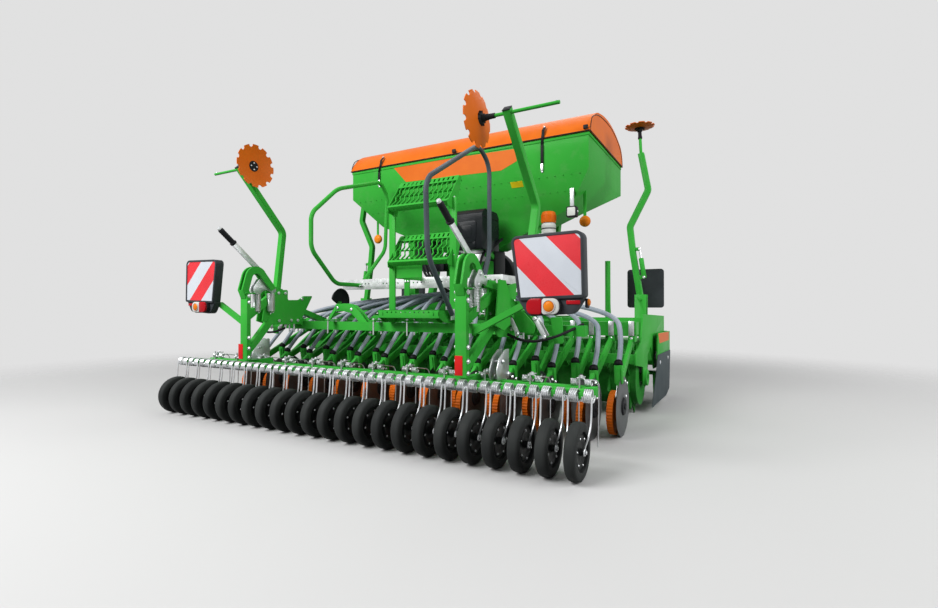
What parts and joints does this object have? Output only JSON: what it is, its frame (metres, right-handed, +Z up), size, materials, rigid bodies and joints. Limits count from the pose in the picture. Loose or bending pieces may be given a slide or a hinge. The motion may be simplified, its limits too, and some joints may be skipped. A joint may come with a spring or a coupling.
{
  "type": "seed drill",
  "caption": "Mounted pneumatic seed drill on a rotary cultivator with toothed packer roller, disc coulters, press wheels, hopper with lid, boarding steps and folding markers.",
  "frame": {"origin": "bottom centre of the machine's bounding box, on the ground", "axes": "+X to the machine's right, +Y forward along the travel, +Z up"},
  "size_m": [3, 3.0999, 2.2207],
  "materials": {
    "green_paint": "gloss",
    "orange_plastic": "satin",
    "zinc": "bright zinc plating",
    "disc_steel": "worn bright",
    "hose_plastic": "translucent grey",
    "black_plastic": "satin",
    "panel_plastic": "satin",
    "flap_rubber": "matte",
    "roller_steel": "satin",
    "wheel_rubber": "matte"
  },
  "bodies": {
    "machine": {"drill_frame": "green_paint", "harrow_frame": "green_paint", "harrow_wires": "zinc", "coulter_arms": "green_paint", "coulter_discs": "disc_steel", "depth_wheels": "orange_plastic", "seed_hoses": "hose_plastic", "boarding_steps": "green_paint", "hopper": "green_paint", "metering_unit": "black_plastic", "warning_panels": "panel_plastic", "roller_frame": "green_paint", "side_plates": "green_paint", "side_flaps": "flap_rubber", "gear_trough": "green_paint", "headstock": "green_paint"},
    "press_wheel_01": {"press_wheel_01": "wheel_rubber"},
    "press_wheel_02": {"press_wheel_02": "wheel_rubber"},
    "press_wheel_03": {"press_wheel_03": "wheel_rubber"},
    "press_wheel_04": {"press_wheel_04": "wheel_rubber"},
    "press_wheel_05": {"press_wheel_05": "wheel_rubber"},
    "press_wheel_06": {"press_wheel_06": "wheel_rubber"},
    "press_wheel_07": {"press_wheel_07": "wheel_rubber"},
    "press_wheel_08": {"press_wheel_08": "wheel_rubber"},
    "press_wheel_09": {"press_wheel_09": "wheel_rubber"},
    "press_wheel_10": {"press_wheel_10": "wheel_rubber"},
    "press_wheel_11": {"press_wheel_11": "wheel_rubber"},
    "press_wheel_12": {"press_wheel_12": "wheel_rubber"},
    "press_wheel_13": {"press_wheel_13": "wheel_rubber"},
    "press_wheel_14": {"press_wheel_14": "wheel_rubber"},
    "press_wheel_15": {"press_wheel_15": "wheel_rubber"},
    "press_wheel_16": {"press_wheel_16": "wheel_rubber"},
    "press_wheel_17": {"press_wheel_17": "wheel_rubber"},
    "press_wheel_18": {"press_wheel_18": "wheel_rubber"},
    "press_wheel_19": {"press_wheel_19": "wheel_rubber"},
    "press_wheel_20": {"press_wheel_20": "wheel_rubber"},
    "press_wheel_21": {"press_wheel_21": "wheel_rubber"},
    "press_wheel_22": {"press_wheel_22": "wheel_rubber"},
    "press_wheel_23": {"press_wheel_23": "wheel_rubber"},
    "press_wheel_24": {"press_wheel_24": "wheel_rubber"},
    "packer_roller": {"packer_roller": "roller_steel"},
    "rotor_01": {"rotor_01": "roller_steel"},
    "rotor_02": {"rotor_02": "roller_steel"},
    "rotor_03": {"rotor_03": "roller_steel"},
    "rotor_04": {"rotor_04": "roller_steel"},
    "rotor_05": {"rotor_05": "roller_steel"},
    "rotor_06": {"rotor_06": "roller_steel"},
    "rotor_07": {"rotor_07": "roller_steel"},
    "rotor_08": {"rotor_08": "roller_steel"},
    "rotor_09": {"rotor_09": "roller_steel"},
    "rotor_10": {"rotor_10": "roller_steel"},
    "track_marker_left": {"track_marker_left": "green_paint"},
    "track_disc_left": {"track_disc_left": "orange_plastic"},
    "signal_arm_left": {"signal_arm_left": "green_paint"},
    "signal_disc_left": {"signal_disc_left": "orange_plastic"},
    "track_marker_right": {"track_marker_right": "green_paint"},
    "track_disc_right": {"track_disc_right": "orange_plastic"},
    "signal_arm_right": {"signal_arm_right": "green_paint"},
    "signal_disc_right": {"signal_disc_right": "orange_plastic"},
    "hopper_lid": {"hopper_lid": "orange_plastic"}
  },
  "joints": [
    {"name": "press_wheel_01_spin", "type": "hinge", "parent": "machine", "child": "press_wheel_01", "pos_m": [-1.4375, -1.425, 0.125], "axis": [1, 0, 0], "continuous": true},
    {"name": "press_wheel_02_spin", "type": "hinge", "parent": "machine", "child": "press_wheel_02", "pos_m": [-1.3125, -1.425, 0.125], "axis": [1, 0, 0], "continuous": true},
    {"name": "press_wheel_03_spin", "type": "hinge", "parent": "machine", "child": "press_wheel_03", "pos_m": [-1.1875, -1.425, 0.125], "axis": [1, 0, 0], "continuous": true},
    {"name": "press_wheel_04_spin", "type": "hinge", "parent": "machine", "child": "press_wheel_04", "pos_m": [-1.0625, -1.425, 0.125], "axis": [1, 0, 0], "continuous": true},
    {"name": "press_wheel_05_spin", "type": "hinge", "parent": "machine", "child": "press_wheel_05", "pos_m": [-0.9375, -1.425, 0.125], "axis": [1, 0, 0], "continuous": true},
    {"name": "press_wheel_06_spin", "type": "hinge", "parent": "machine", "child": "press_wheel_06", "pos_m": [-0.8125, -1.425, 0.125], "axis": [1, 0, 0], "continuous": true},
    {"name": "press_wheel_07_spin", "type": "hinge", "parent": "machine", "child": "press_wheel_07", "pos_m": [-0.6875, -1.425, 0.125], "axis": [1, 0, 0], "continuous": true},
    {"name": "press_wheel_08_spin", "type": "hinge", "parent": "machine", "child": "press_wheel_08", "pos_m": [-0.5625, -1.425, 0.125], "axis": [1, 0, 0], "continuous": true},
    {"name": "press_wheel_09_spin", "type": "hinge", "parent": "machine", "child": "press_wheel_09", "pos_m": [-0.4375, -1.425, 0.125], "axis": [1, 0, 0], "continuous": true},
    {"name": "press_wheel_10_spin", "type": "hinge", "parent": "machine", "child": "press_wheel_10", "pos_m": [-0.3125, -1.425, 0.125], "axis": [1, 0, 0], "continuous": true},
    {"name": "press_wheel_11_spin", "type": "hinge", "parent": "machine", "child": "press_wheel_11", "pos_m": [-0.1875, -1.425, 0.125], "axis": [1, 0, 0], "continuous": true},
    {"name": "press_wheel_12_spin", "type": "hinge", "parent": "machine", "child": "press_wheel_12", "pos_m": [-0.0625, -1.425, 0.125], "axis": [1, 0, 0], "continuous": true},
    {"name": "press_wheel_13_spin", "type": "hinge", "parent": "machine", "child": "press_wheel_13", "pos_m": [0.0625, -1.425, 0.125], "axis": [1, 0, 0], "continuous": true},
    {"name": "press_wheel_14_spin", "type": "hinge", "parent": "machine", "child": "press_wheel_14", "pos_m": [0.1875, -1.425, 0.125], "axis": [1, 0, 0], "continuous": true},
    {"name": "press_wheel_15_spin", "type": "hinge", "parent": "machine", "child": "press_wheel_15", "pos_m": [0.3125, -1.425, 0.125], "axis": [1, 0, 0], "continuous": true},
    {"name": "press_wheel_16_spin", "type": "hinge", "parent": "machine", "child": "press_wheel_16", "pos_m": [0.4375, -1.425, 0.125], "axis": [1, 0, 0], "continuous": true},
    {"name": "press_wheel_17_spin", "type": "hinge", "parent": "machine", "child": "press_wheel_17", "pos_m": [0.5625, -1.425, 0.125], "axis": [1, 0, 0], "continuous": true},
    {"name": "press_wheel_18_spin", "type": "hinge", "parent": "machine", "child": "press_wheel_18", "pos_m": [0.6875, -1.425, 0.125], "axis": [1, 0, 0], "continuous": true},
    {"name": "press_wheel_19_spin", "type": "hinge", "parent": "machine", "child": "press_wheel_19", "pos_m": [0.8125, -1.425, 0.125], "axis": [1, 0, 0], "continuous": true},
    {"name": "press_wheel_20_spin", "type": "hinge", "parent": "machine", "child": "press_wheel_20", "pos_m": [0.9375, -1.425, 0.125], "axis": [1, 0, 0], "continuous": true},
    {"name": "press_wheel_21_spin", "type": "hinge", "parent": "machine", "child": "press_wheel_21", "pos_m": [1.0625, -1.425, 0.125], "axis": [1, 0, 0], "continuous": true},
    {"name": "press_wheel_22_spin", "type": "hinge", "parent": "machine", "child": "press_wheel_22", "pos_m": [1.1875, -1.425, 0.125], "axis": [1, 0, 0], "continuous": true},
    {"name": "press_wheel_23_spin", "type": "hinge", "parent": "machine", "child": "press_wheel_23", "pos_m": [1.3125, -1.425, 0.125], "axis": [1, 0, 0], "continuous": true},
    {"name": "press_wheel_24_spin", "type": "hinge", "parent": "machine", "child": "press_wheel_24", "pos_m": [1.4375, -1.425, 0.125], "axis": [1, 0, 0], "continuous": true},
    {"name": "packer_roller_spin", "type": "hinge", "parent": "machine", "child": "packer_roller", "pos_m": [0, 0.125, 0.25], "axis": [1, 0, 0], "continuous": true},
    {"name": "rotor_01_spin", "type": "hinge", "parent": "machine", "child": "rotor_01", "pos_m": [-1.296, 0.725, 0.2], "axis": [0, 0, 1], "continuous": true},
    {"name": "rotor_02_spin", "type": "hinge", "parent": "machine", "child": "rotor_02", "pos_m": [-1.008, 0.725, 0.2], "axis": [0, 0, 1], "continuous": true},
    {"name": "rotor_03_spin", "type": "hinge", "parent": "machine", "child": "rotor_03", "pos_m": [-0.72, 0.725, 0.2], "axis": [0, 0, 1], "continuous": true},
    {"name": "rotor_04_spin", "type": "hinge", "parent": "machine", "child": "rotor_04", "pos_m": [-0.432, 0.725, 0.2], "axis": [0, 0, 1], "continuous": true},
    {"name": "rotor_05_spin", "type": "hinge", "parent": "machine", "child": "rotor_05", "pos_m": [-0.144, 0.725, 0.2], "axis": [0, 0, 1], "continuous": true},
    {"name": "rotor_06_spin", "type": "hinge", "parent": "machine", "child": "rotor_06", "pos_m": [0.144, 0.725, 0.2], "axis": [0, 0, 1], "continuous": true},
    {"name": "rotor_07_spin", "type": "hinge", "parent": "machine", "child": "rotor_07", "pos_m": [0.432, 0.725, 0.2], "axis": [0, 0, 1], "continuous": true},
    {"name": "rotor_08_spin", "type": "hinge", "parent": "machine", "child": "rotor_08", "pos_m": [0.72, 0.725, 0.2], "axis": [0, 0, 1], "continuous": true},
    {"name": "rotor_09_spin", "type": "hinge", "parent": "machine", "child": "rotor_09", "pos_m": [1.008, 0.725, 0.2], "axis": [0, 0, 1], "continuous": true},
    {"name": "rotor_10_spin", "type": "hinge", "parent": "machine", "child": "rotor_10", "pos_m": [1.296, 0.725, 0.2], "axis": [0, 0, 1], "continuous": true},
    {"name": "track_marker_left_fold", "type": "hinge", "parent": "machine", "child": "track_marker_left", "pos_m": [-1.362, 0.475, 0.8], "axis": [0, -1, 0], "range_deg": [0, 118]},
    {"name": "track_disc_left_spin", "type": "hinge", "parent": "track_marker_left", "child": "track_disc_left", "pos_m": [-1.355, 0.475, 2.112], "axis": [0, 0, 1], "continuous": true},
    {"name": "signal_arm_left_lower", "type": "hinge", "parent": "machine", "child": "signal_arm_left", "pos_m": [-1.005, -0.945, 0.85], "axis": [1, 0, 0], "range_deg": [0, 100]},
    {"name": "signal_disc_left_spin", "type": "hinge", "parent": "signal_arm_left", "child": "signal_disc_left", "pos_m": [-0.88, -1.239, 1.702], "axis": [1, 0, 0], "continuous": true},
    {"name": "track_marker_right_fold", "type": "hinge", "parent": "machine", "child": "track_marker_right", "pos_m": [1.362, 0.475, 0.8], "axis": [0, 1, 0], "range_deg": [0, 118]},
    {"name": "track_disc_right_spin", "type": "hinge", "parent": "track_marker_right", "child": "track_disc_right", "pos_m": [1.355, 0.475, 2.112], "axis": [0, 0, 1], "continuous": true},
    {"name": "signal_arm_right_lower", "type": "hinge", "parent": "machine", "child": "signal_arm_right", "pos_m": [1.005, -0.945, 0.85], "axis": [1, 0, 0], "range_deg": [0, 100]},
    {"name": "signal_disc_right_spin", "type": "hinge", "parent": "signal_arm_right", "child": "signal_disc_right", "pos_m": [0.88, -1.239, 1.702], "axis": [1, 0, 0], "continuous": true},
    {"name": "hopper_lid_open", "type": "hinge", "parent": "machine", "child": "hopper_lid", "pos_m": [0, 1.041, 1.975], "axis": [-1, 0, 0], "range_deg": [0, 75]}
  ],
  "couplings": [
    {"joint": "rotor_02_spin", "follows": "rotor_01_spin", "ratio": -1},
    {"joint": "rotor_03_spin", "follows": "rotor_01_spin", "ratio": 1},
    {"joint": "rotor_04_spin", "follows": "rotor_01_spin", "ratio": -1},
    {"joint": "rotor_05_spin", "follows": "rotor_01_spin", "ratio": 1},
    {"joint": "rotor_06_spin", "follows": "rotor_01_spin", "ratio": -1},
    {"joint": "rotor_07_spin", "follows": "rotor_01_spin", "ratio": 1},
    {"joint": "rotor_08_spin", "follows": "rotor_01_spin", "ratio": -1},
    {"joint": "rotor_09_spin", "follows": "rotor_01_spin", "ratio": 1},
    {"joint": "rotor_10_spin", "follows": "rotor_01_spin", "ratio": -1}
  ]
}
